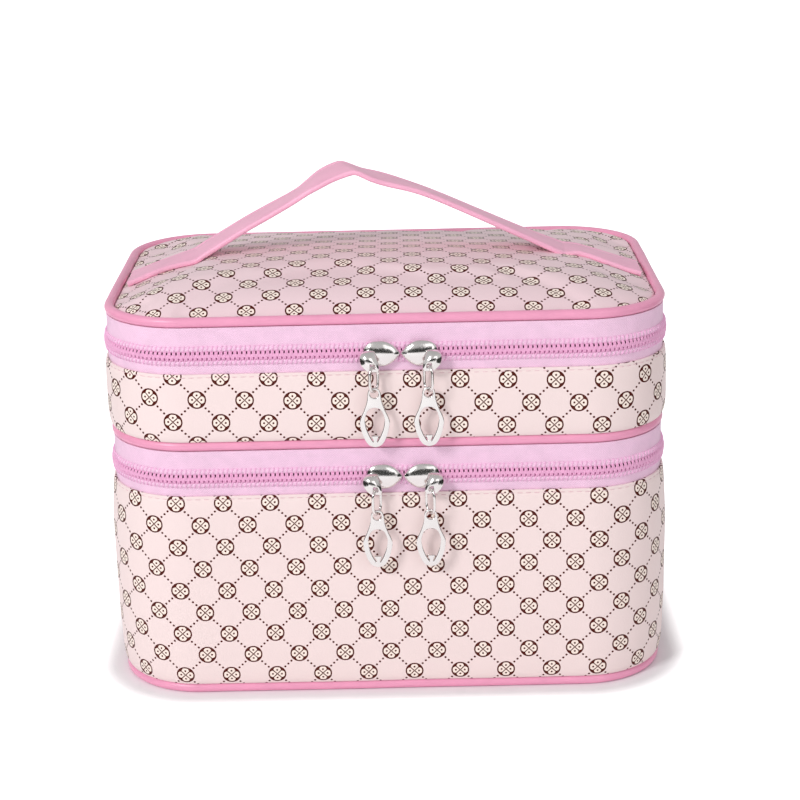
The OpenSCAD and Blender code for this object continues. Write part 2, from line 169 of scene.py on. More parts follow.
class CASE_PG_colours(bpy.types.PropertyGroup):
    """Colours of the case's finishes and of its stage."""

    ground: colour("Ground", "Ground of the printed leatherette", "F6E2E0")
    # The lid's ground is a greyer copy of the walls' ground: painted shade of the lid's top, which takes less
    # light.
    lid_ground: colour("Lid ground", "Ground of the lid's leatherette, greyer as painted shade", "F3D7DD")
    ink: colour("Ink", "Ink of the print", "501002")
    leaf: colour("Leaf", "Leaves inside the roundels", "FFEFE4")
    piping: colour("Piping", "Leatherette of the piping", "F6A4C5")
    strap: colour("Strap", "Leatherette of the strap", "FFBBD7")
    tape: colour("Tape", "Woven zip tape", "FBD2EC")
    coil: colour("Coil", "Nylon of the coil", "FDBBE2")
    # The coil's bed is darker than the tape: the lower half's partly as darker tape and partly as painted
    # shade of the holes between the teeth, the upper half's darker still as painted shade under its ridge.
    bed: colour("Coil bed", "Darker tape with painted shade under the coil, lower half", "D681BC")
    deep: colour("Deep bed", "Darker tape with painted shade under the coil, shaded upper half", "6C1E52")
    thread: colour("Thread", "Thread over the ridges", "FBC2E6")
    hem: colour("Hem thread", "Thread of the hems", "F1CDD4")
    lining: colour("Lining", "Lining cloth", "F2B9CE")
    foam: colour("Foam", "Foam sheet", "F4F1EA")
    board: colour("Board", "Grey stiffening board", "B9B4AC")
    nickel: colour("Nickel", "Bright nickel plate", "E9E5E3")
    floor: colour("Floor", "Pale floor", "F4F3F5")
    card: colour("Card", "Dark cards that only the metal mirrors", "191D19")


GROUPS = {
    "case_soft": CASE_PG_soft,
    "case_zip": CASE_PG_zip,
    "case_print": CASE_PG_print,
    "case_colours": CASE_PG_colours,
}


def sizes(group):
    """The lengths of a property group in millimetres."""
    found = getattr(bpy.context.scene, group)
    return {key: getattr(found, key) / MM for key in GROUPS[group].__annotations__}


# ---------------------------------------------------------------- shapes


def seam_point(s):
    """Points of the seam outline and the ways that it faces, s round from the middle of the back."""
    s = np.mod(s, SEAM)
    facing = np.interp(s, BREAKS, FACING)
    out = np.stack([np.cos(facing), np.sin(facing)], -1)
    middle = np.stack([np.interp(s, BREAKS, TURN_X), np.interp(s, BREAKS, TURN_Y)], -1)
    return middle + CORNER * out, out


def stops(first, last, step=3.0):
    """Places along the seam outline from first to last, which include its breaks."""
    inner = {b + k * SEAM for b in BREAKS for k in (-1, 0, 1) if first < b + k * SEAM < last}
    marks = sorted({first, last, *inner})
    counts = [max(1, math.ceil((b - a) / step)) for a, b in zip(marks, marks[1:])]
    parts = [np.linspace(a, b, n, endpoint=False) for a, b, n in zip(marks, marks[1:], counts)]
    return np.append(np.concatenate(parts), last)


def drift(points, size):
    """Smooth noise at points, with waves of about this size."""
    return np.array([noise.noise(Vector(p) / size) for p in points.reshape(-1, 3)]).reshape(points.shape[:-1])


def ripple(points):
    """Gentle unevenness of the cloth, which dies out towards the zips so that the sliders stay clear. The
    base's front is pressed in a little where the lower pullers run over it."""
    x, y, z = np.moveaxis(points, -1, 0)
    near = np.min([abs(z - zip_z) for zip_z in ZIP_Z.values()], 0)
    fade = np.clip((near - 5) / 12, 0, 1)
    wave = drift(points, 41) + 0.35 * drift(points, 13)
    beside, below = x / 85, (z - ZIP_Z["lower"] + 34) / 20
    pressed = 1.2 * np.exp(-(beside**4) - below**2) * (y < 0)
    return (sizes("case_soft")["ripple"] * wave - pressed) * fade


def put(name, data):
    """A new object of this data in the scene."""
    obj = bpy.data.objects.new(name, data)
    bpy.context.scene.collection.objects.link(obj)
    return obj


def mesh_object(name, points, faces, uv=None, sharp=40.0):
    """A mesh object of points in millimetres, welded, with its faces turned outwards."""
    mesh = bpy.data.meshes.new(name)
    points = np.asarray(points, float).reshape(-1, 3)
    mesh.from_pydata((points * MM).tolist(), [], [list(map(int, f)) for f in faces])
    if uv is not None:
        mesh.uv_layers.new(name=UV).data.foreach_set("uv", np.asarray(uv, np.float32).ravel())
    bm = bmesh.new()
    bm.from_mesh(mesh)
    bmesh.ops.remove_doubles(bm, verts=bm.verts, dist=WELD)
    bmesh.ops.recalc_face_normals(bm, faces=bm.faces)
    bm.to_mesh(mesh)
    bm.free()
    mesh.shade_smooth()
    mesh.set_sharp_from_angle(angle=math.radians(sharp))
    return put(name, mesh)


def ring_faces(rows, cols, closed=False):
    """Quads of a tube of rows by cols points, which closes on itself or has a cap at each end."""
    spans = rows if closed else rows - 1
    i, j = (g.ravel() for g in np.mgrid[0:spans, 0:cols])
    i2, j2 = (i + 1) % rows, (j + 1) % cols
    faces = np.stack([i * cols + j, i2 * cols + j, i2 * cols + j2, i * cols + j2], 1).tolist()
    if not closed:
        faces += [list(range(cols)), [spans * cols + k for k in range(cols)]]
    return faces


def ring_uv(u, v):
    """Flat coordinates of a tube's quads, from the places u along it and v round it."""
    i, j = (g.ravel() for g in np.mgrid[0 : len(u) - 1, 0 : len(v) - 1])
    return np.stack([u[i], v[j], u[i + 1], v[j], u[i + 1], v[j + 1], u[i], v[j + 1]], 1).ravel()


def sweep(name, section, span=None, start=0.0, uneven=1.0, join=0.0):
    """A closed section of (depth, height) points, carried round the seam outline or along a span of it. Join
    is the depth of the seam where its cloth meets at the middle of the back."""
    s = stops(*(span or (0.0, SEAM)))
    if join:
        # Closer points beside the join give it its form.
        close = np.array([0.35, 0.7, 1.1, 1.7])
        s = np.unique(np.concatenate([s, close, SEAM - close]))
    place, out = seam_point(s)
    section = np.asarray(section, float)
    points = np.empty((len(s), len(section), 3))
    points[:, :, :2] = place[:, None] - out[:, None] * section[None, :, :1]
    points[:, :, 2] = section[:, 1]
    pulled = join * np.exp(-((np.minimum(s, SEAM - s) / 0.6) ** 2))
    points[:, :, :2] += out[:, None] * (uneven * ripple(points) - pulled[:, None])[..., None]
    around = np.linalg.norm(np.diff(np.vstack([section, section[:1]]), axis=0), axis=1)
    uv = ring_uv(s - SEAM / 2, start + np.append(0, np.cumsum(around)))
    if span:
        uv = np.concatenate([uv, section.ravel(), section.ravel()])
        return mesh_object(name, points, ring_faces(len(s), len(section)), uv)
    return mesh_object(name, points[:-1], ring_faces(len(s) - 1, len(section), closed=True), uv)


def plan_net(cols, rows):
    """A square net drawn onto the plan of the panels, finer towards its edge: its points, row by row."""
    a, b, r = PANEL
    k, m = np.linspace(-1, 1, cols), np.linspace(-1, 1, rows)
    p, q = np.meshgrid(k * (1.3 - 0.3 * k * k), m * (1.3 - 0.3 * m * m))
    share = np.maximum(np.maximum(abs(p), abs(q)), 1e-9)
    x, y = a * abs(p) / share, b * abs(q) / share
    corner = (x > a - r) & (y > b - r)
    turn = np.where(x >= a - 1e-6, y - (b - r), r + a - x) / (2 * r) * math.pi / 2
    x = np.where(corner, a - r + r * np.cos(turn), x)
    y = np.where(corner, b - r + r * np.sin(turn), y)
    return np.stack([x * share * np.sign(p), y * share * np.sign(q)], -1)


def edge_distance(points):
    """How far points lie inside the outline of the panels."""
    a, b, r = PANEL
    q = abs(points) - np.array([a - r, b - r])
    return r - np.linalg.norm(np.maximum(q, 0), axis=-1) - np.minimum(q.max(-1), 0)


def net_faces(rows, cols):
    """Quads of a net of rows by cols points, and the points of its rim in order."""
    i, j = (g.ravel() for g in np.mgrid[0 : rows - 1, 0 : cols - 1])
    quads = np.stack([i * cols + j, i * cols + j + 1, (i + 1) * cols + j + 1, (i + 1) * cols + j], 1)
    n = np.arange(rows * cols).reshape(rows, cols)
    rim = np.concatenate([n[0, :-1], n[:-1, -1], n[-1, :0:-1], n[:0:-1, 0]])
    return quads.tolist(), rim.tolist()


def closed_nets(front, back):
    """Points and faces of a closed body between two like nets of points."""
    rows, cols = front.shape[:2]
    quads, rim = net_faces(rows, cols)
    count = rows * cols
    faces = quads + [[k + count for k in q] for q in quads]
    faces += [[a, b, b + count, a + count] for a, b in zip(rim, rim[-1:] + rim)]
    return np.vstack([front.reshape(-1, 3), back.reshape(-1, 3)]), faces


def slab(name, top, foot, spread=None):
    """A closed pad: a net of top points over a flat foot at one height. Spread is the cloth's flat shape."""
    low = top.copy()
    low[..., 2] = foot
    points, faces = closed_nets(top, low)
    cloth = points[:, :2].copy()
    if spread is not None:
        cloth[: len(cloth) // 2] = spread.reshape(-1, 2)
    return mesh_object(name, points, faces, np.concatenate([cloth[f].ravel() for f in faces]))


def tube(path, radius, normal, sides=6, closed=False):
    """Points and faces of a round wire along a flat path, whose plane faces along the normal."""
    path = np.asarray(path, float)
    ahead = np.roll(path, -1, 0) - np.roll(path, 1, 0) if closed else np.gradient(path, axis=0)
    ahead /= np.linalg.norm(ahead, axis=1)[:, None]
    side = np.cross(normal, ahead)
    side /= np.linalg.norm(side, axis=1)[:, None]
    up = np.cross(ahead, side)
    turn = np.linspace(0, 2 * math.pi, sides, endpoint=False)[None, :, None]
    ring = np.cos(turn) * side[:, None] + np.sin(turn) * up[:, None]
    return (path[:, None] + radius * ring).reshape(-1, 3), ring_faces(len(path), sides, closed)


def curve_through(points, steps):
    """A smooth curve through points, with steps between one and the next."""
    p = np.asarray(points, float)
    q = np.vstack([2 * p[0] - p[1], p, 2 * p[-1] - p[-2]])
    t = np.linspace(0, 1, steps, endpoint=False)[:, None]
    parts = []
    for a, b, c, d in zip(q, q[1:], q[2:], q[3:]):
        parts.append(b + 0.5 * t * (c - a + t * (2 * a - 5 * b + 4 * c - d + t * (3 * (b - c) + d - a))))
    return np.vstack([*parts, p[-1:]])


def evaluated(obj, **options):
    """A plain mesh of the object with its modifiers applied."""
    graph = bpy.context.evaluated_depsgraph_get()
    return bpy.data.meshes.new_from_object(obj.evaluated_get(graph), depsgraph=graph, **options)


def settled(obj):
    """The object with its modifiers applied to its mesh."""
    old, obj.data = obj.data, evaluated(obj, preserve_all_data_layers=True)
    obj.modifiers.clear()
    bpy.data.meshes.remove(old)
    return obj


def rounded(obj, levels):
    """The object with its mesh subdivided."""
    fine = obj.modifiers.new("Rounding", "SUBSURF")
    fine.levels = fine.render_levels = levels
    return settled(obj)


def taken(mesh):
    """Points in millimetres and faces of a mesh, which is removed."""
    points = np.array([v.co for v in mesh.vertices]) / MM
    faces = [list(p.vertices) for p in mesh.polygons]
    bpy.data.meshes.remove(mesh)
    return points, faces


# ---------------------------------------------------------------- materials


def feed(node, key, value):
    """Sets a node's input to a value, to a node's socket, or to the first output in use of a node."""
    if isinstance(value, bpy.types.Node):
        value = next(output for output in value.outputs if output.enabled)
    if isinstance(value, bpy.types.NodeSocket):
        node.id_data.links.new(value, node.inputs[key])
    else:
        node.inputs[key].default_value = value


def add(tree, kind, inputs=(), **settings):
    """Adds a node with its settings and its inputs."""
    node = tree.nodes.new(kind)
    for key, value in settings.items():
        setattr(node, key, value)
    for key, value in inputs.items() if isinstance(inputs, dict) else enumerate(inputs):
        feed(node, key, value)
    return node


def cleared(owner):
    """The emptied node tree of a material or a world."""
    owner.use_nodes = True
    owner.node_tree.nodes.clear()
    return owner.node_tree


def surface(tree, base, sockets):
    """The one Principled surface of a material, with its linear base colour."""
    body = add(tree, "ShaderNodeBsdfPrincipled", {"Base Color": base, **sockets})
    add(tree, "ShaderNodeOutputMaterial", [body])
    return body


def rough_up(body, height, depth):
    """Gives the surface a relief of a depth in millimetres."""
    feed(body, "Normal", add(body.id_data, "ShaderNodeBump", {"Height": height, "Distance": depth * MM}))


def shade(body, share, value, span=None):
    """Darkens the base colour to a share of itself as the value rises, over a span of it if one is given."""
    if span:
        ramp = {"Value": value, "From Min": span[0], "From Max": span[1]}
        value = add(body.id_data, "ShaderNodeMapRange", ramp)
    base = tuple(body.inputs["Base Color"].default_value)
    mix = {"Factor": value, "A": base, "B": (*(c * share for c in base[:3]), 1.0)}
    feed(body, "Base Color", add(body.id_data, "ShaderNodeMix", mix, data_type="RGBA"))


def leather_grain(body):
    """Fine pebbled grain of a pressed leatherette, with a slow drift that is returned. Real grain is about
    0.2 mm; it is drawn at 0.55 mm, to show."""
    tree = body.id_data
    at = add(tree, "ShaderNodeUVMap", uv_map=UV)
    cells = add(tree, "ShaderNodeTexVoronoi", {"Vector": at, "Scale": 1 / 0.55}, feature="SMOOTH_F1")
    slow = add(tree, "ShaderNodeTexNoise", {"Vector": at, "Scale": 0.09, "Detail": 3.0})
    rough_up(body, add(tree, "ShaderNodeMath", [slow, 2.2, cells], operation="MULTIPLY_ADD"), 0.03)
    return slow


# The print in steps: name, operation and inputs, which are numbers or earlier names. u and v run along and up
# the cloth. a and b count the trellis's two sets of lines, so that roundels sit on whole numbers.
PRINT_STEPS = """
sum ADD u v | dif SUBTRACT u v | a DIVIDE sum repeat | b DIVIDE dif repeat
a_near ROUND a | b_near ROUND b | da SUBTRACT a a_near | db SUBTRACT b b_near
e ADD da db | f SUBTRACT da db | x MULTIPLY e half | y MULTIPLY f half
ax ABSOLUTE x | ay ABSOLUTE y | p MAXIMUM ax ay | q MINIMUM ax ay
pp MULTIPLY p p | rr MULTIPLY_ADD q q pp | r SQRT rr
outside SUBTRACT r ring_in | to_ring ABSOLUTE outside | on_ring LESS_THAN to_ring ring_half
inside LESS_THAN r ring_in
pl SUBTRACT p petal_at | pl2 MULTIPLY pl pl | leaf2 MULTIPLY_ADD q q pl2 | leaf_r SQRT leaf2
off_leaf GREATER_THAN leaf_r petal | outer GREATER_THAN r core | wedge MULTIPLY off_leaf outer
gap SUBTRACT p q | cross LESS_THAN gap hair | near GREATER_THAN r eye | saltire MULTIPLY cross near
ps SUBTRACT p seed_at | ps2 MULTIPLY ps ps | seed2 MULTIPLY_ADD q q ps2 | seed_r SQRT seed2
pip LESS_THAN seed_r seed
lines MAXIMUM wedge saltire | fill MAXIMUM lines pip | drawn MULTIPLY fill inside
roundel MAXIMUM on_ring drawn
ada ABSOLUTE da | adb ABSOLUTE db | far MAXIMUM ada adb | beside MINIMUM ada adb
left SUBTRACT 0.5 far | along MULTIPLY left edge | off MULTIPLY beside edge | off2 MULTIPLY off off
n DIVIDE along dot_gap | n_near ROUND n | n_most MINIMUM n_near 1.0 | at MULTIPLY n_most dot_gap
da_dot SUBTRACT along at | dot2 MULTIPLY_ADD da_dot da_dot off2 | dot_r SQRT dot2 | dots LESS_THAN dot_r dot
ink MAXIMUM roundel dots
"""


def printed_leatherette(tree, base, shift, turn=0.0):
    """Calendered PVC leatherette with a flat screen print: satin and faintly grained. The print's place and
    its turn on the cloth are given in millimetres and degrees."""
    body = surface(tree, base, {"Roughness": 0.4, "IOR": 1.52, "Specular IOR Level": 0.2})
    size = sizes("case_print")
    known = {
        **size,
        "half": size["repeat"] / 2,
        "edge": size["repeat"] / math.sqrt(2),
        "ring_in": size["roundel"] - size["ring"] / 2,
        "ring_half": size["ring"] / 2,
        "petal_at": 0.48 * size["roundel"],
        "seed_at": 0.5 * size["roundel"],
        "core": 0.47 * size["roundel"],
        "eye": 0.1,
        "hair": 0.3,
    }
    middle = (*shift, 0.0)
    at = {"Vector": add(tree, "ShaderNodeUVMap", uv_map=UV), "Center": middle, "Angle": math.radians(turn)}
    turned = add(tree, "ShaderNodeVectorRotate", at, rotation_type="Z_AXIS")
    moved = add(tree, "ShaderNodeVectorMath", [turned, middle], operation="SUBTRACT")
    known["u"], known["v"], _ = add(tree, "ShaderNodeSeparateXYZ", [moved]).outputs
    for step in PRINT_STEPS.strip().replace("\n", " | ").split(" | "):
        key, operation, *operands = step.split()
        values = [known[o] if o in known else float(o) for o in operands]
        known[key] = add(tree, "ShaderNodeMath", values, operation=operation)
    tint = bpy.context.scene.case_colours
    for factor, over in ((known["inside"], tint.leaf), (known["ink"], tint.ink)):
        mix = {"Factor": factor, "A": base, "B": (*over, 1.0)}
        base = add(tree, "ShaderNodeMix", mix, data_type="RGBA")
    feed(body, "Base Color", base)
    leather_grain(body)


def plain_leatherette(tree, base, roughness, dark=0.9):
    """Plain PVC leatherette: satin, with a soft pebble and tone that drifts a little along the piece."""
    body = surface(tree, base, {"Roughness": roughness, "IOR": 1.52})
    shade(body, dark, leather_grain(body), (0.35, 0.75))


def woven(tree, base, thread, roughness=0.85, sheen=0.25):
    """Plain-woven polyester: threads that cross at right angles, matt, with a light fuzz at a grazing angle.
    Threads are drawn about twice as coarse as they are, so that they show."""
    body = surface(tree, base, {"Roughness": roughness, "Sheen Weight": sheen, "Sheen Roughness": 0.4})
    at = add(tree, "ShaderNodeUVMap", uv_map=UV)
    waves = []
    for place in add(tree, "ShaderNodeSeparateXYZ", [at]).outputs[:2]:
        turn = add(tree, "ShaderNodeMath", [place, math.pi / thread], operation="MULTIPLY")
        waves.append(add(tree, "ShaderNodeMath", [turn], operation="SINE"))
    cross = add(tree, "ShaderNodeMath", waves, operation="MULTIPLY")
    slow = add(tree, "ShaderNodeTexNoise", {"Vector": at, "Scale": 0.2, "Detail": 2.0})
    shade(body, 0.9, add(tree, "ShaderNodeMath", [cross, 0.25, slow], operation="MULTIPLY_ADD"), (0.3, 0.8))
    rough_up(body, cross, 0.06)


def bright_nickel(tree, base):
    """Nickel-plated zinc casting, polished: clear reflections, with faint waves of the casting below."""
    body = surface(tree, base, {"Metallic": 1.0, "Roughness": 0.14})
    at = add(tree, "ShaderNodeTexCoord").outputs["Object"]
    rough_up(body, add(tree, "ShaderNodeTexNoise", {"Vector": at, "Scale": 420.0, "Detail": 2.0}), 0.06)
    scuff = add(tree, "ShaderNodeTexNoise", {"Vector": at, "Scale": 1500.0, "Detail": 4.0})
    feed(body, "Roughness", add(tree, "ShaderNodeMapRange", {"Value": scuff, "To Min": 0.08, "To Max": 0.24}))


def speckled(tree, base, roughness, grain, dark):
    """Foam or pressed board: matt, with small cells or fibres of a darker tone."""
    body = surface(tree, base, {"Roughness": roughness})
    at = add(tree, "ShaderNodeTexCoord").outputs["Object"]
    cells = add(tree, "ShaderNodeTexNoise", {"Vector": at, "Scale": 1 / (grain * MM), "Detail": 3.0})
    shade(body, dark, cells, (0.4, 0.7))
    rough_up(body, cells, grain / 8)


def spun(tree, base, roughness):
    """Spun or drawn nylon: thread and coil wire, slightly glossy, with a fine lengthwise tone."""
    body = surface(tree, base, {"Roughness": roughness, "IOR": 1.53})
    at = add(tree, "ShaderNodeTexCoord").outputs["Object"]
    shade(body, 0.82, add(tree, "ShaderNodeTexNoise", {"Vector": at, "Scale": 900.0}))


def pale_floor(tree, base):
    """Matt paper. It glows to the camera more and more away from the case's foot, so that only its shadow
    shows, and to what the metal mirrors by a share of that."""
    at = add(tree, "ShaderNodeTexCoord").outputs["Object"]
    apart = add(tree, "ShaderNodeVectorMath", [at], operation="ABSOLUTE")
    past = add(tree, "ShaderNodeVectorMath", [apart, (HALF_L * MM, HALF_W * MM, 0)], operation="SUBTRACT")
    past = add(tree, "ShaderNodeVectorMath", [past, (0, 0, 0)], operation="MAXIMUM")
    away = add(tree, "ShaderNodeVectorMath", [past], operation="LENGTH")
    reach = {"Value": away, "From Min": (CORNER + 4) * MM, "From Max": (CORNER + 19) * MM, "To Max": 0.9}
    fade = add(tree, "ShaderNodeMapRange", reach, interpolation_type="SMOOTHSTEP")
    ray = add(tree, "ShaderNodeLightPath").outputs
    shown = [ray["Is Glossy Ray"], 0.3, ray["Is Camera Ray"]]
    shown = add(tree, "ShaderNodeMath", shown, operation="MULTIPLY_ADD")
    glow = add(tree, "ShaderNodeMath", [shown, fade], operation="MULTIPLY")
    matt = add(tree, "ShaderNodeBsdfDiffuse", {"Color": base})
    light = add(tree, "ShaderNodeEmission", {"Strength": glow})
    add(tree, "ShaderNodeOutputMaterial", [add(tree, "ShaderNodeAddShader", [matt, light])])


# The finishes: full name, recipe, colour, and what the recipe takes besides, with lengths in millimetres.
FINISHES = {
    "base_print": ("Printed leatherette, base", printed_leatherette, "ground", (9.0, 65.6)),
    "tray_print": ("Printed leatherette, tray", printed_leatherette, "ground", (10.4, 135.2), 1.7),
    # The lid's print has a greyer ground of its own, as painted shade.
    "lid_print": ("Printed leatherette, lid", printed_leatherette, "lid_ground", (2.2, -70.3)),
    "piping": ("Pink leatherette piping", plain_leatherette, "piping", 0.34),
    "strap": ("Pink leatherette strap", plain_leatherette, "strap", 0.42, 0.92),
    "back_strip": ("Pink leatherette back strip", plain_leatherette, "piping", 0.45),
    "underside": ("Pink leatherette underside", plain_leatherette, "piping", 0.5),
    "tape": ("Woven polyester zip tape", woven, "tape", 0.5),
    # Beds of the coil: darker tape with painted shade between the teeth; the upper one is a deeper painted
    # shade.
    "bed": ("Dyed tape under the coil, lower", woven, "bed", 0.5, 0.85, 0.0),
    "deep": ("Dyed tape under the coil, upper", woven, "deep", 0.5, 0.85, 0.0),
    "lining": ("Woven nylon lining", woven, "lining", 0.8, 0.6, 0.4),
    "coil": ("Nylon coil", spun, "coil", 0.38),
    "thread": ("Polyester thread", spun, "thread", 0.6),
    "hem_thread": ("Polyester hem thread", spun, "hem", 0.6),
    "foam": ("Open-cell foam", speckled, "foam", 0.95, 0.9, 0.82),
    "board": ("Grey pressed board", speckled, "board", 0.8, 0.6, 0.7),
    "nickel": ("Nickel-plated zinc", bright_nickel, "nickel"),
    "floor": ("Pale floor", pale_floor, "floor"),
    "card": ("Black card", surface, "card", {"Roughness": 1.0}),
}


def material(name):
    """The finish of that name, which is made when it is first asked for."""
    title, recipe, tint, *settings = FINISHES[name]
    made = bpy.data.materials.get(title)
    if made is None:
        made = bpy.data.materials.new(title)
        recipe(cleared(made), (*getattr(bpy.context.scene.case_colours, tint), 1.0), *settings)
    return made


def dress(obj, finish, body=None, nodes=()):
    """Gives a piece its material, its slot in the record, its body and the CAD nodes that it stands for."""
    obj.data.materials.clear()
    for name in finish.split():
        obj.data.materials.append(material(name))
    if body:
        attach(obj, body)
    if nodes:
        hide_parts(*nodes)
    return obj


# ---------------------------------------------------------------- walls, panels and trims

# Depths in from the seam outline: the foam's face, its face where it is cut thin for the tape, its back, and
# the lining's face. The cut runs LAP down from the wall's edge.
FOAM_IN, FOAM_CUT, FOAM_BACK, LINING_IN = 0.05, 0.75, 2.95, 3.0
LAP = 6.05


def wall_face(body):
    """Heights up a wall and the depth of its outer face there: tucked in over the piping, swelled between its
    seams, and drawn in by the stitches of its hem."""
    z0, z1 = WALL[body]
    soft = sizes("case_soft")
    low = z0 + np.array([0, 0.4, 1.0, 2.0, 3.5, 6.0])
    middle = np.linspace(z0 + 9, z1 - 7, max(3, round((z1 - z0) / 7)))
    high = z1 - np.array([4.5, 3.0, 2.2, 1.7, 1.3, 0.9, 0.5, 0.2])
    z = np.concatenate([low, middle, high])
    t = 2 * (z - z0) / (z1 - z0) - 1
    depth = -SKIN - soft[body + "_puff"] * (1 - t**4) + 0.9 * np.exp((z0 - z) / 1.3)
    depth += 0.28 * np.exp(-(((z1 - soft["hem_down"] - z) / 0.5) ** 2)) + 0.35 * np.exp((z - z1) / 0.25)
    return z, depth


def build_walls():
    """Cover, foam and lining of the base and the tray."""
    for body, (z0, z1) in WALL.items():
        z, depth = wall_face(body)
        outer = list(zip(depth, z))
        inner = [(min(d + SKIN, 0.0), h) for d, h in outer]
        section = outer + [(-0.45, z1), (-0.05, z1 - 0.1)] + inner[-6::-2]
        cover = sweep(body + "_wall_cover", section, start=z0, join=0.8)
        dress(cover, body + "_print", body, [body + "_cover"])
        cut = z1 - LAP
        filling = [(d + FOAM_IN, h) for d, h in inner[::2] if h < cut - 1]
        filling += [(FOAM_IN, cut), (FOAM_CUT, cut), (FOAM_CUT, z1), (FOAM_BACK, z1), (FOAM_BACK, z0)]
        dress(sweep(body + "_wall_padding", filling), "foam", body, [body + "_wall_foam"])
        # The lining is turned over the rim and runs down to the floor.
        sheet = [(LINING_IN, z0), (3.5, z0), (3.65, z0 + 8), (3.55, (z0 + z1) / 2), (3.6, z1 - 6)]
        sheet += [(3.5, z1 - 1), (3.45, z1 + 0.25), (3.1, z1 + 0.6), (2.2, z1 + 0.65), (1.2, z1 + 0.6)]
        sheet += [(0.8, z1 + 0.45), (0.8, z1 + 0.05), (LINING_IN, z1 + 0.05)]
        lining = sweep(body + "_wall_lining_cloth", sheet)
        dress(lining, "lining", body, [body + "_wall_lining"])


def build_panels():
    """Bottom, floors and lining panels inside the pipings. The boards keep their CAD shape."""
    net = plan_net(41, 29)
    inset = edge_distance(net)
    # Each panel faces up (1) or down (-1), and its cloth rises off its board by a little that way.
    for name, node, body, finish, slot, way, rise in (
        ("base_underside", "base_bottom_cover", "base", "underside", "bottom_leatherette", -1, 0.0),
        ("base_floor_lining", "base_bottom_lining", "base", "lining", "lining", 1, 0.5),
        ("tray_floor_cloth", "tray_floor_lining", "tray", "lining", "lining", 1, 0.5),
        ("tray_under_cloth", "tray_under_lining", "tray", "lining", "lining", -1, 0.3),
        ("lid_lining_cloth", "lid_lining", "lid", "lining", "lining", -1, 0.3),
    ):
        foot, face = (level(node, 0), level(node, 1))[::way]
        wave = drift(np.dstack([net, np.full(inset.shape, level(node, 1))]), 23)
        swell = (1 - np.exp(-inset / 7)) * rise * (0.7 + 0.6 * wave)
        dress(slab(name, np.dstack([net, face + way * swell]), foot), finish, body, [node])
    for node in ("base_bottom_board", "tray_floor_board", "lid_board"):
        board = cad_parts[node]
        board.data.materials.clear()
        board.data.materials.append(material("board"))


def build_pipings():
    """Rolled piping of the three seams, and the bindings inside."""
    turn = np.radians(np.arange(0, 360, 15))
    for body, z in PIPE_Z.items():
        section = [(PIPE_IN - PIPE_R * math.cos(t), z + PIPE_R * math.sin(t)) for t in turn]
        piping = sweep(body + "_rolled_piping", section, uneven=0.5)
        dress(piping, "piping", body, [body + "_piping"])
        if body != "base":
            node = body + "_seam_binding"
            z0, z1 = level(node, 0), level(node, 1)
            band = [(0.8, z1), (0.8, z0 + 0.5), (1.1, z0), (3.2, z0), (3.55, z0 + 0.5)]
            band += [(3.75, (z0 + z1) / 2), (3.55, z1 - 0.4), (3.2, z1)]
            dress(sweep(body + "_binding", band, uneven=0.0), "lining", body, [node])


HINGE_GAP = 0.05
TAPE_SPAN = (HINGE_L / 2 + HINGE_GAP, SEAM - HINGE_L / 2 - HINGE_GAP)
TAPE_IN, TAPE_T = 0.1, 0.6
RIDGE_Z, RIDGE_R = 2.6, 1.12


def tape_section(far, zip_z, side, ridge):
    """Section of a tape from its far edge to the coil: flat cloth, a corded ridge and the bed of the coil."""
    front, back = TAPE_IN, TAPE_IN + TAPE_T
    half = [(front, far), (front, zip_z + side * 4.6), (front, zip_z + side * 4.3)]
    for t in np.linspace(0, math.pi, 9):
        half.append((front - 0.02 - ridge * math.sin(t), zip_z + side * (RIDGE_Z + RIDGE_R * math.cos(t))))
    bed = front - (0.1 if side > 0 else 0.55)
    half += [(bed, zip_z + side * 1.4), (bed, zip_z + side * 0.45)]
    return half + [(back, zip_z + side * 0.45), (back, far)]


def build_tapes():
    """The four halves of the zip tapes, dyed darker in the bed of the coil."""
    ridge = sizes("case_zip")["ridge_out"]
    for zone, side, body, node, piece in HALVES:
        far = level(node + "_tape", 1 if side > 0 else 0)
        section = tape_section(far, ZIP_Z[zone], side, ridge)
        tape = sweep(piece + "_tape", section, TAPE_SPAN)
        # The upper half's bed takes the deeper painted shade, the lower half's the lighter bed colour, which
        # is partly painted shade too.
        dress(tape, "tape deep" if side > 0 else "tape bed", body, [node + "_tape"])
        cols = len(section)
        marks = np.isin(np.arange(len(tape.data.polygons)) % cols, [cols - 4, cols - 3])
        marks[-2:] = False
        tape.data.polygons.foreach_set("material_index", marks.astype(np.int32))


# ---------------------------------------------------------------- what repeats along a seam

REPEAT_INPUTS = {
    "Path": "Geometry", "Part": "Object", "Pitch": "Float", "Side": "Float", "Finish": "Material",
}


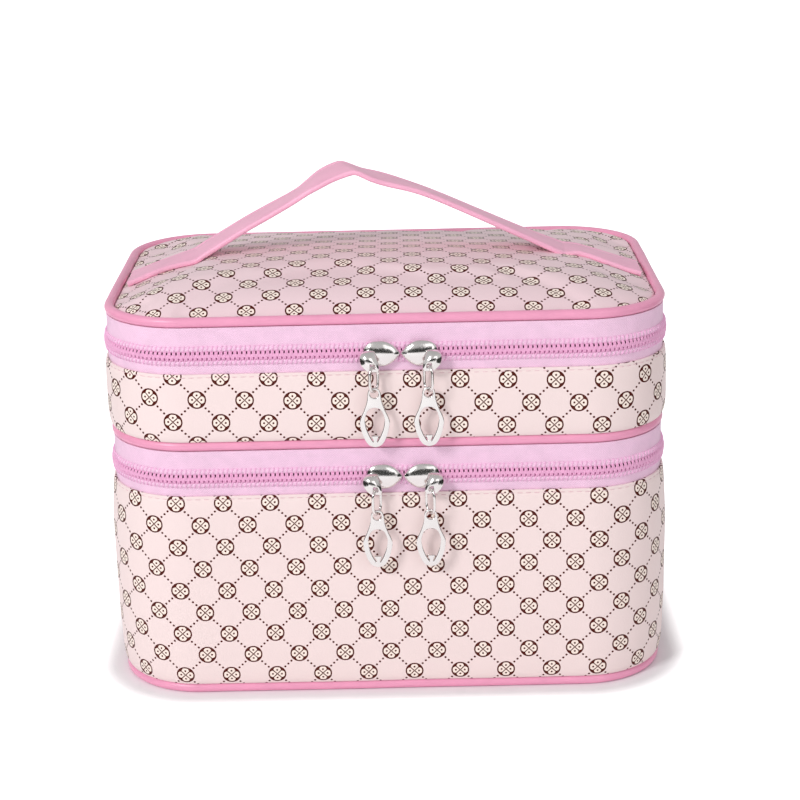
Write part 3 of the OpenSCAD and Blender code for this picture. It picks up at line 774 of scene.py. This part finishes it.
def repeat_tree():
    """Geometry Nodes that set a part along a path, at even steps, facing out as the path's cloth does."""
    tree = bpy.data.node_groups.new("Repeat along a seam", "GeometryNodeTree")
    tree.interface.new_socket("Result", in_out="OUTPUT", socket_type="NodeSocketGeometry")
    for name, kind in REPEAT_INPUTS.items():
        tree.interface.new_socket(name, in_out="INPUT", socket_type="NodeSocket" + kind)
    given = add(tree, "NodeGroupInput").outputs
    line = add(tree, "GeometryNodeMeshToCurve", [given["Path"]])
    even = add(tree, "GeometryNodeResampleCurve", {"Curve": line, "Length": given["Pitch"]}, mode="LENGTH")
    out = add(tree, "GeometryNodeInputNamedAttribute", {"Name": "out"}, data_type="FLOAT_VECTOR")
    ahead = {"Vector": add(tree, "GeometryNodeInputTangent"), "Scale": given["Side"]}
    along = add(tree, "ShaderNodeVectorMath", ahead, operation="SCALE")
    turn = add(tree, "FunctionNodeAxesToRotation", [out, along], primary_axis="Z", secondary_axis="X")
    part = add(tree, "GeometryNodeObjectInfo", {"Object": given["Part"]}).outputs["Geometry"]
    copies = add(tree, "GeometryNodeInstanceOnPoints", {"Points": even, "Instance": part, "Rotation": turn})
    real = add(tree, "GeometryNodeRealizeInstances", [copies])
    finish = add(tree, "GeometryNodeSetMaterial", {"Geometry": real, "Material": given["Finish"]})
    add(tree, "NodeGroupOutput", [finish])
    return tree


def repeat(name, chains, part, pitch, side, finish):
    """A plain mesh of parts repeated along chains, which are (place along the seam, depth, height) spans."""
    points, edges, outs = [], [], []
    for span, depth, z in chains:
        place, out = seam_point(stops(*span, step=1.5))
        first = len(points)
        points += [(x * MM, y * MM, z * MM) for x, y in place - out * depth]
        outs += [(x, y, 0.0) for x, y in out]
        edges += [(k, k + 1) for k in range(first, len(points) - 1)]
    mesh = bpy.data.meshes.new(name)
    mesh.from_pydata(points, edges, [])
    mesh.attributes.new("out", "FLOAT_VECTOR", "POINT").data.foreach_set("vector", np.ravel(outs))
    obj = put(name, mesh)
    modifier = obj.modifiers.new("Repeat", "NODES")
    modifier.node_group = bpy.data.node_groups.get("Repeat along a seam") or repeat_tree()
    given = {"Part": part, "Pitch": pitch * MM, "Side": float(side), "Finish": material(finish)}
    for item in modifier.node_group.interface.items_tree:
        if item.name in given:
            modifier[item.identifier] = given[item.name]
    return settled(obj)


# Half a tooth, from the tape to its head: places along the seam, away from the zip's middle, and outwards.
TOOTH = [(-0.3, 1.75, 0.0), (-0.3, 1.55, 0.6), (-0.3, 1.1, 0.9), (-0.27, 0.5, 0.95), (-0.22, -0.1, 0.85)]
TOOTH += [(-0.12, -0.42, 0.75)]


def build_coils():
    """The teeth of the four half coils: each is a loop of wire whose head locks between its neighbours."""
    size = sizes("case_zip")
    half = np.array(TOOTH)
    loop = np.vstack([half, half[::-1] * [-1, 1, 1]])
    tooth = mesh_object("tooth", *tube(loop, size["wire"], (0, 0, 1)))
    start, end = TAPE_SPAN
    for zone, side, body, node, piece in HALVES:
        # The two halves of a zip lie half a pitch apart.
        shift = size["pitch"] * (0.75 if side > 0 else 0.25)
        chain = [((start + shift + 1, end - 2 + shift), -0.1, ZIP_Z[zone])]
        coil = repeat(piece + "_teeth", chain, tooth, size["pitch"], side, "coil")
        dress(coil, "coil", body, [node + "_coil"])
    bpy.data.objects.remove(tooth)


def build_stitches():
    """Stitches of the ridges and of the hems, one piece of each for every body that has them."""
    size, soft = sizes("case_zip"), sizes("case_soft")
    turn = np.radians(np.arange(-80, 81, 20))
    out = size["ridge_out"] + 0.05
    over = np.stack([0.45 * np.sin(turn), RIDGE_R * np.sin(turn), out * np.cos(turn)], 1)
    along = [(-1, 0, -0.12), (-0.8, 0, 0.02), (0, 0, 0.08), (0.8, 0, 0.02), (1, 0, -0.12)]
    ridges, hems = {"base": [], "tray": [], "lid": []}, {}
    for zone, side, body, _, _ in HALVES:
        ridges[body].append((TAPE_SPAN, TAPE_IN, ZIP_Z[zone] + side * RIDGE_Z))
    for body, (_, z1) in WALL.items():
        at = z1 - soft["hem_down"]
        hems[body] = [((0.0, SEAM), float(np.interp(at, *wall_face(body))) - 0.02, at)]
    for name, path, radius, normal, pitch, rows, finish in (
        ("ridge_stitches", over, size["stitch"], (1, 0, 0), size["pitch"], ridges, "thread"),
        ("hem_stitches", along, size["hem_stitch"], (0, 1, 0), soft["hem_pitch"], hems, "hem_thread"),
    ):
        stitch = mesh_object("stitch", *tube(path, radius, normal))
        for body, chains in rows.items():
            dress(repeat(f"{body}_{name}", chains, stitch, pitch, 1, finish), finish, body)
        bpy.data.objects.remove(stitch)


def build_back_strips():
    """The two leatherette strips across the back, each in one piece that bends between two storeys."""
    for zone, low, high in (("lower", "base", "tray"), ("upper", "tray", "lid")):
        flaps = [f"{zone}_hinge_{low}_flap", f"{zone}_hinge_{high}_flap"]
        zip_z = ZIP_Z[zone]
        bend = np.linspace(zip_z - 6.5, zip_z + 6.5, 27)
        z = np.concatenate([[level(flaps[0], 0)], bend, [level(flaps[1], 1)]])
        crown = 0.25 * np.exp(-(((z - zip_z) / 3) ** 2))
        section = [*zip(TAPE_IN - crown, z), *zip((TAPE_IN + TAPE_T - crown)[::-1], z[::-1])]
        strip = sweep(zone + "_back_strip", section, (-HINGE_L / 2, HINGE_L / 2), uneven=0.0)
        dress(strip, "back_strip", None, flaps)
        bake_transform(strip)


# ---------------------------------------------------------------- lid pad and strap

PAD_COLS, PAD_ROWS = 105, 71
PAD_FRAMES = 20
PAD_CLOTH = {
    "quality": 6,
    "mass": 0.25,
    "tension_stiffness": 25,
    "compression_stiffness": 25,
    "shear_stiffness": 12,
    "bending_stiffness": 3,
    "shrink_min": -0.012,
    "use_pressure": True,
    "uniform_pressure_force": 3.0,
}


def inflate(obj, pins, cap):
    """Lets the foam press the cover out: a cloth simulation with pressure, pinned round its seam."""
    obj.vertex_groups.new(name="seam").add(pins, 1.0, "REPLACE")
    cloth = obj.modifiers.new("Foam pressure", "CLOTH")
    for key, value in PAD_CLOTH.items():
        setattr(cloth.settings, key, value)
    cloth.settings.vertex_group_mass = "seam"
    cloth.settings.effector_weights.gravity = 0
    cloth.collision_settings.use_collision = False
    cloth.point_cache.frame_end = PAD_FRAMES
    rest = np.array([v.co for v in obj.data.vertices])
    for f in range(1, PAD_FRAMES + 1):
        bpy.context.scene.frame_set(f)
    graph = bpy.context.evaluated_depsgraph_get()
    moved = np.array([v.co for v in obj.evaluated_get(graph).data.vertices]) - rest
    bpy.context.scene.frame_set(1)
    far = np.linalg.norm(moved, axis=1)[:, None]
    moved *= np.minimum(1, cap * MM / np.maximum(far, 1e-9))
    return (rest + moved) / MM


def pad_height(net):
    """Height of the lid's pad before its foam presses out: plump along the front, lower at its ends and
    falling to the back."""
    soft = sizes("case_soft")
    x, y = net[..., 0] / (SEAM_L / 2), net[..., 1] / (SEAM_W / 2)
    inset = np.clip(edge_distance(net), 0, None)
    back = np.clip((y + 0.35) / 1.3, 0, 1)
    back = back * back * (3 - 2 * back)
    rise = soft["pad_front"] * (1 - back) + soft["pad_back"] * back
    ends = 1 - np.where(x < 0, 0.45 * abs(x) ** 2.6, 0.75 * abs(x) ** 2.2)
    return PIPE_Z["lid"] + rise * ends * (1 - np.exp(-inset / (soft["pad_roll"] - 2 * back)))


def pad_spread(net):
    """The pad's cloth laid flat: further out than its plan by the extra length of its roll."""
    soft = sizes("case_soft")
    inset = edge_distance(net)
    step = 0.01
    out = np.stack([inset - edge_distance(net + near) for near in ([step, 0], [0, step])], -1)
    extra = soft["pad_front"] ** 2 / (4 * soft["pad_roll"])
    extra = extra * np.exp(-2 * np.clip(inset, 0, None) / soft["pad_roll"])
    return net + out / step * extra[..., None]


def build_lid_pad():
    """The lid's padded cover, closed under itself on its board."""
    net = plan_net(PAD_COLS, PAD_ROWS)
    top = np.dstack([net, pad_height(net)])
    quads, rim = net_faces(PAD_ROWS, PAD_COLS)
    sheet = mesh_object("pad_sheet", top, quads)
    top = inflate(sheet, rim, sizes("case_soft")["pad_swell"]).reshape(top.shape)
    bpy.data.objects.remove(sheet)
    # Small puckers by the seam, and broad waves away from it.
    inset = edge_distance(top[..., :2])
    pucker = 0.22 * drift(top, 4.5) * np.exp(-inset / 6) * np.clip(inset / 1.5, 0, 1)
    top[..., 2] += pucker + 0.5 * drift(top, 31) * np.clip(inset / 12, 0, 1)
    pad = rounded(slab("lid_pad", top, level("lid_foam", 0), pad_spread(net)), 1)
    pad.data.name = "lid_pad"
    dress(pad, "lid_print", "lid", ["lid_cover", "lid_foam"])


STRAP_W, STRAP_T = 22.0, 2.2
TAB_END = SEAM_L / 2 - PANEL_IN - 1.5
TAB_STEPS = 15
# Shares of the strap's half width, from its middle to its edge, and of its thickness there, which has a
# stitched groove.
STRAP_OUT = np.array([0, 0.4, 0.66, 0.72, 0.76, 0.86, 0.94, 0.985, 1])
STRAP_THICK = np.array([1.02, 1.0, 0.92, 0.78, 1.02, 1.06, 0.96, 0.7, 0.3])
# The strap's front and back edges, from its left crease over the peak to its right crease: x and z of each.
STRAP_EDGES = [
    (-81.0, 166.8, -82.5, 167.4), (-76.0, 170.0, -76.8, 171.2), (-68.7, 174.5, -68.7, 175.9),
    (-58.1, 180.9, -58.1, 182.1), (-47.6, 186.6, -47.6, 187.6), (-37.1, 192.6, -37.1, 193.0),
    (-31.5, 196.1, -31.8, 197.2), (-26.0, 198.8, -26.6, 201.4), (-20.9, 201.4, -21.4, 203.9),
    (-14.2, 203.8, -17.9, 204.8), (-10.9, 204.4, -14.6, 203.7), (-7.6, 203.0, -9.5, 201.6),
    (-4.3, 201.3, -4.4, 200.5), (2.3, 199.1, 2.4, 198.6), (12.3, 196.7, 12.5, 194.9),
    (22.2, 193.0, 22.7, 190.8), (37.2, 186.1, 38.1, 183.9), (52.2, 178.9, 53.5, 177.0),
    (65.0, 172.8, 66.0, 171.6), (73.0, 168.9, 73.8, 168.7), (78.2, 166.6, 79.0, 166.6),
]


def build_strap():
    """The strap with its two sewn ends, as one folded band that bends where it leaves the lid."""
    pad = BVHTree.FromObject(bpy.data.objects["lid_pad"], bpy.context.evaluated_depsgraph_get())
    across = np.append(-STRAP_OUT[:0:-1], STRAP_OUT)
    thick = np.append(STRAP_THICK[:0:-1], STRAP_THICK)
    edges = curve_through(STRAP_EDGES, 6)
    share = (across + 1)[None, :, None] / 2
    middle = edges[:, None, :2] * (1 - share) + edges[:, None, 2:] * share
    band = np.insert(middle, 1, across * STRAP_W / 2, axis=2)
    forward = sizes("case_soft")["tab_forward"]

    def on_pad(x, y):
        hits = [pad.ray_cast(Vector((px * MM, py * MM, 0.3)), Vector((0, 0, -1)))[0] for px, py in zip(x, y)]
        return np.stack([x, y, [hit.z / MM + 0.1 + STRAP_T / 2 for hit in hits]], 1)

    ends = []
    for side, end in ((-1, 0), (1, -1)):
        row = band[end] = on_pad(band[end, :, 0], band[end, :, 1])
        x, y = row[:, 0], row[:, 1]
        tab = []
        for t in np.arange(TAB_STEPS) / TAB_STEPS:
            tab.append(on_pad(side * TAB_END * (1 - t) + x * t, y - forward * (1 - t) ** 1.3))
        ends.append(np.array(tab))
    band = np.concatenate([ends[0], band, ends[1][::-1]])
    ease = np.ones(5) / 5
    spread = np.pad(band, ((2, 2), (0, 0), (0, 0)), mode="edge")
    band = np.apply_along_axis(lambda v: np.convolve(v, ease, "valid"), 0, spread)
    up = np.cross(np.gradient(band, axis=0), np.gradient(band, axis=1))
    up /= np.linalg.norm(up, axis=-1)[..., None]
    half = up * (thick * STRAP_T / 2)[None, :, None]
    loop = np.concatenate([band + half, (band - half)[:, ::-1]], axis=1)
    u = np.append(0, np.cumsum(np.linalg.norm(np.diff(band[:, len(STRAP_OUT) - 1], axis=0), axis=1)))
    v = np.concatenate([across, across[::-1], across[:1]]) * STRAP_W / 2
    uv = np.append(ring_uv(u, v), np.zeros(4 * loop.shape[1]))
    strap = mesh_object("strap_band", loop, ring_faces(*loop.shape[:2]), uv)
    dress(strap, "strap", None, ["handle_left_end", "handle_right_end", "handle_strap"])
    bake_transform(strap)


# ---------------------------------------------------------------- sliders, links and pullers

MEET_X, NOSE_GAP = 6.0, 0.3
SLIDER_L, SLIDER_H = 14.4, 10.2
BAR_OUT, BAR_DOWN, LOOP_X = 6.6, 5.6, 3.2
LINK_W, LINK_STRAIGHT, LINK_R, LINK_TOP, LINK_TURN = 6.2, 4.0, 0.6, 1.65, 30.0
PULLER_L, EYE_R, EYE_Z = 24.6, 1.7, -15.05


def on_zips(kind, points, faces, sharp=40.0):
    """Four like nickel pieces on the zips, from points that lie beside the slider's middle: X to its tail, Y
    outwards and Z up."""
    x, y, z = np.asarray(points, float).T
    for zone, zip_z in ZIP_Z.items():
        for side, word in ((-1, "left"), (1, "right")):
            middle = MEET_X + side * (NOSE_GAP + SLIDER_L / 2)
            placed = np.stack([middle + side * x, -SEAM_W / 2 - y, zip_z + z], 1)
            piece = mesh_object(f"{kind}_{zone}_{word}", placed, faces, sharp=sharp)
            node = f"{zone}_{word}_{kind}"
            dress(piece, "nickel", node, [node])


def joined(*parts):
    """Points and faces of several parts as one."""
    points, faces = [], []
    for p, f in parts:
        faces += [[k + len(points) for k in face] for face in f]
        points += list(map(tuple, p))
    return np.array(points), faces


def shell(low, high, crown, keel):
    """An almond plate with a keeled crown: pointed at its nose, rounder at its tail."""
    t = np.sin(np.linspace(-1, 1, 29) * math.pi / 2)[:, None]
    v = np.sin(np.linspace(-1, 1, 15) * math.pi / 2)[None, :]
    half = SLIDER_H / 2 * np.where(t < 0, (1 - abs(t) ** 1.9) ** 0.8, np.sqrt(1 - abs(t) ** 3.2))
    x = np.repeat(t * SLIDER_L / 2, v.size, 1)
    z = half * v
    edge = (1 - abs(v) ** 6) * (1 - abs(t) ** 8)
    rise = crown * (1 - abs(v) ** keel) * (1 - abs(t) ** 2.4)
    face = np.dstack([x, high - 0.45 * (1 - edge) + rise, z])
    return closed_nets(face, np.dstack([x, np.full_like(x, low), z]))


def box(low, high):
    """Points and faces of a small block."""
    points = [[(low, high)[b >> k & 1][k] for k in range(3)] for b in range(8)]
    return points, [[0, 1, 3, 2], [4, 5, 7, 6], [0, 1, 5, 4], [2, 3, 7, 6], [0, 2, 6, 4], [1, 3, 7, 5]]


def bail():
    """The hooded loop of a slider, with an opening over its bar that the link runs through."""
    rows, cols = 14, 9
    t = np.linspace(0, 1, rows)[:, None]
    # Outwards and up, the loop's middle follows one Bezier arch.
    a, b, c, d = np.array([(2.7, 1.4), (6.4, 2.2), (8.3, -2.6), (6.3, -6.4)])
    arch = (1 - t) ** 3 * a + 3 * t * (1 - t) ** 2 * b + 3 * t * t * (1 - t) * c + t**3 * d
    u = np.linspace(-1, 1, cols)
    wide = np.interp(t, [0, 0.2, 0.45, 0.7, 0.88, 1], [1.3, 2.6, 3.5, 3.5, 2.8, 1.7])
    x = LOOP_X + 2.2 * np.sin(math.pi * t**0.7) + wide * u
    hood = 1.5 * u**2 * np.sin(np.pi * np.clip(t * 0.8 + 0.1, 0, 1)) ** 2
    quads, _ = net_faces(rows, cols)
    kept = [q for q in quads if not (q[0] // cols in (9, 10) and q[0] % cols in (2, 3))]
    obj = mesh_object("bail", np.dstack([x, arch[:, :1] - hood, arch[:, 1:] - 0.5 * hood]), kept)
    solid = obj.modifiers.new("Wall", "SOLIDIFY")
    solid.thickness, solid.offset = 0.85 * MM, 0
    mesh = rounded(obj, 2).data
    bpy.data.objects.remove(obj)
    return taken(mesh)


def build_sliders():
    """The four sliders: a crowned plate in front, a flat one behind, the post between them and the loop."""
    front, back = shell(1.8, 2.9, 1.5, 1.3), shell(-2.3, -1.1, 0.0, 2.0)
    post = box((-4.2, -1.7, -0.25), (-1.2, 2.4, 0.25))
    on_zips("slider", *joined(front, back, post, bail()), sharp=50)


def build_links():
    """The four oval links, bent from wire and turned a little about the upright."""
    bend = LINK_W / 2
    turn = np.radians(np.arange(0, 181, 15))
    upper = [(bend * math.cos(t), bend * math.sin(t)) for t in turn]
    flat = np.array(upper + [(-y, -z - LINK_STRAIGHT) for y, z in upper])
    c, s = math.cos(math.radians(LINK_TURN)), math.sin(math.radians(LINK_TURN))
    z = LINK_TOP - BAR_DOWN - bend + flat[:, 1]
    path = np.stack([LOOP_X + s * flat[:, 0], BAR_OUT + c * flat[:, 0], z], 1)
    on_zips("link", *tube(path, LINK_R, (c, -s, 0), sides=14, closed=True))


# Half outlines of the puller: half width, and share of its length from the top.
LEAF = [
    (0.0, 0.0), (1.3, 0.012), (2.2, 0.045), (2.6, 0.1), (2.7, 0.16), (3.1, 0.25), (4.2, 0.38), (5.4, 0.49),
    (5.9, 0.57), (5.7, 0.66), (5.1, 0.76), (4.4, 0.84), (3.4, 0.92), (2.1, 0.975), (0.0, 1.0),
]
WINDOW = [(0.0, 0.335), (1.6, 0.35), (2.9, 0.4), (3.75, 0.5), (3.8, 0.58), (3.35, 0.68), (2.7, 0.755)]
NOTCH = [(2.15, 0.81), (1.35, 0.87), (0.85, 0.905), (0.62, 0.9), (1.0, 0.86), (1.5, 0.805)]


def build_pullers():
    """The four pullers, pressed as a leaf with an eye, a window and two facets under the window."""
    top = EYE_Z + EYE_R + 0.85
    turn = np.linspace(0, 2 * math.pi, 28, endpoint=False)
    eye = np.stack([EYE_R * np.sin(turn), (top - EYE_Z + EYE_R * np.cos(turn)) / PULLER_L], 1)
    outlines = []
    for half in (curve_through(LEAF, 5), np.vstack([curve_through(WINDOW, 4), NOTCH])):
        whole = np.vstack([half, (half * [-1, 1])[::-1]])
        outlines.append(whole[np.linalg.norm(whole - np.roll(whole, 1, 0), axis=1) > 1e-6])
    data = bpy.data.curves.new("leaf", "CURVE")
    data.dimensions, data.fill_mode = "2D", "BOTH"
    data.bevel_depth, data.bevel_resolution, data.extrude = 0.3 * MM, 2, 0.4 * MM
    data.offset = -data.bevel_depth
    for outline in (*outlines, eye):
        spline = data.splines.new("POLY")
        spline.points.add(len(outline) - 1)
        spline.use_cyclic_u = True
        for point, (x, t) in zip(spline.points, outline):
            point.co = (x * MM, (top - t * PULLER_L) * MM, 0, 1)
    obj = put("leaf", data)
    points, faces = taken(evaluated(obj))
    bpy.data.objects.remove(obj)
    x, z, y = points.T
    on_zips("puller", np.stack([LOOP_X + x, BAR_OUT + y, z], 1), faces, sharp=30)


# ---------------------------------------------------------------- stage

# The camera's distance and its target in millimetres, its rise and roll in radians, and its focal length in
# pixels of the picture.
CAMERA = {
    "distance": 864.9, "target": (5.395, 0.0, 101.6), "rise": 0.30678, "roll": -0.02164, "focal": 1981.94,
}
SENSOR = 36.0
PICTURE = 800.0


def build_camera():
    """The camera at the photograph's angle."""
    rise, roll = CAMERA["rise"], CAMERA["roll"]
    back = Vector((0, -math.cos(rise), math.sin(rise)))
    right = Vector((1, 0, 0))
    up = right.cross(-back)
    right, up = right * math.cos(roll) + up * math.sin(roll), up * math.cos(roll) - right * math.sin(roll)
    data = bpy.data.cameras.new("Camera")
    data.lens = CAMERA["focal"] / PICTURE * SENSOR
    data.sensor_width = SENSOR
    data.clip_start, data.clip_end = 0.05, 30
    camera = bpy.context.scene.camera = put("Camera", data)
    turn = Matrix((right, up, back)).transposed().to_4x4()
    place = (Vector(CAMERA["target"]) + back * CAMERA["distance"]) * MM
    camera.matrix_world = Matrix.Translation(place) @ turn


def build_stage():
    """A pale floor, a surround that is white to the camera, dark cards for the metal, and soft lamps."""
    corners = np.array([(-1, -1, 0), (1, -1, 0), (1, 1, 0), (-1, 1, 0)])
    floor = mesh_object("floor", corners * 6.0 / MM, [[0, 1, 2, 3]])
    floor.data.materials.append(material("floor"))
    front = corners[:, [0, 2, 1]] * [0.8, 0, 0.2] + [0, -1.3, 0.42]
    side = corners[:, [2, 0, 1]] * [0, 0.3, 0.1] + [0.32, -0.2, 0.11]
    cards = np.vstack([front, side, side * [-1, 1, 1]]) / MM
    card = mesh_object("dark_cards", cards, [[0, 1, 2, 3], [4, 5, 6, 7], [8, 9, 10, 11]])
    card.data.materials.append(material("card"))
    card.visible_camera = card.visible_diffuse = card.visible_shadow = False
    world = bpy.context.scene.world = bpy.data.worlds.new("Studio")
    tree = cleared(world)
    up = add(tree, "ShaderNodeSeparateXYZ", [add(tree, "ShaderNodeTexCoord").outputs["Generated"]]).outputs[2]
    dome = add(tree, "ShaderNodeMapRange", {"Value": up, "From Max": 0.9, "To Min": 0.68, "To Max": 0.5})
    camera = add(tree, "ShaderNodeLightPath").outputs["Is Camera Ray"]
    strength = add(tree, "ShaderNodeMath", [camera, dome], operation="MAXIMUM")
    sky = add(tree, "ShaderNodeBackground", {"Color": (1, 1, 1, 1), "Strength": strength})
    add(tree, "ShaderNodeOutputWorld", [sky])
    # Each lamp's place and width are metres, and its power is watts.
    for name, place, width, power in (
        ("Key lamp", (-0.85, -1.05, 0.95), 0.35, 9.8),
        ("Fill lamp", (0.7, -1.4, 0.7), 1.0, 2.8),
    ):
        data = bpy.data.lights.new(name, "AREA")
        data.size, data.energy = width, power
        lamp = put(name, data)
        lamp.location = place
        lamp.rotation_euler = (Vector(place) - Vector((0, 0, 0.1))).to_track_quat("Z", "Y").to_euler()
    bpy.context.scene.view_settings.view_transform = "Standard"


# ---------------------------------------------------------------- add-on


def operator(build):
    """An operator class that runs one building function, with its name and its note taken from that."""
    name = build.__name__.removeprefix("build_")

    def execute(self, context):
        build()
        return {"FINISHED"}

    parts = {
        "bl_idname": "case." + name,
        "bl_label": name.replace("_", " ").capitalize(),
        "bl_options": {"UNDO"},
        "__doc__": build.__doc__,
        "execute": execute,
    }
    return type("CASE_OT_" + name, (bpy.types.Operator,), parts)


OPERATORS = [
    operator(build)
    for build in (
        build_camera, build_walls, build_panels, build_pipings, build_tapes, build_coils, build_stitches,
        build_back_strips, build_lid_pad, build_strap, build_sliders, build_links, build_pullers, build_stage,
    )
]


class CASE_PT_panel(bpy.types.Panel):
    """Lists the case's pieces and its sizes."""

    bl_idname = "CASE_PT_panel"
    bl_label = "Vanity case"
    bl_space_type = "VIEW_3D"
    bl_region_type = "UI"
    bl_category = "Vanity case"

    def draw(self, context):
        for made in OPERATORS:
            self.layout.operator(made.bl_idname)
        for name, group in GROUPS.items():
            for key in group.__annotations__:
                self.layout.prop(getattr(context.scene, name), key)


CLASSES = [*GROUPS.values(), *OPERATORS, CASE_PT_panel]


def register():
    """Registers the add-on's classes and its properties."""
    for made in CLASSES:
        bpy.utils.register_class(made)
    for name, group in GROUPS.items():
        setattr(bpy.types.Scene, name, bpy.props.PointerProperty(type=group))


def unregister():
    """Removes what register added."""
    for name in GROUPS:
        delattr(bpy.types.Scene, name)
    for made in reversed(CLASSES):
        bpy.utils.unregister_class(made)


def main():
    """Builds the whole case and writes its size."""
    register()
    for made in OPERATORS:
        getattr(bpy.ops.case, made.bl_idname.split(".")[1])()
    bpy.context.view_layer.update()


if __name__ == "__main__":
    main()
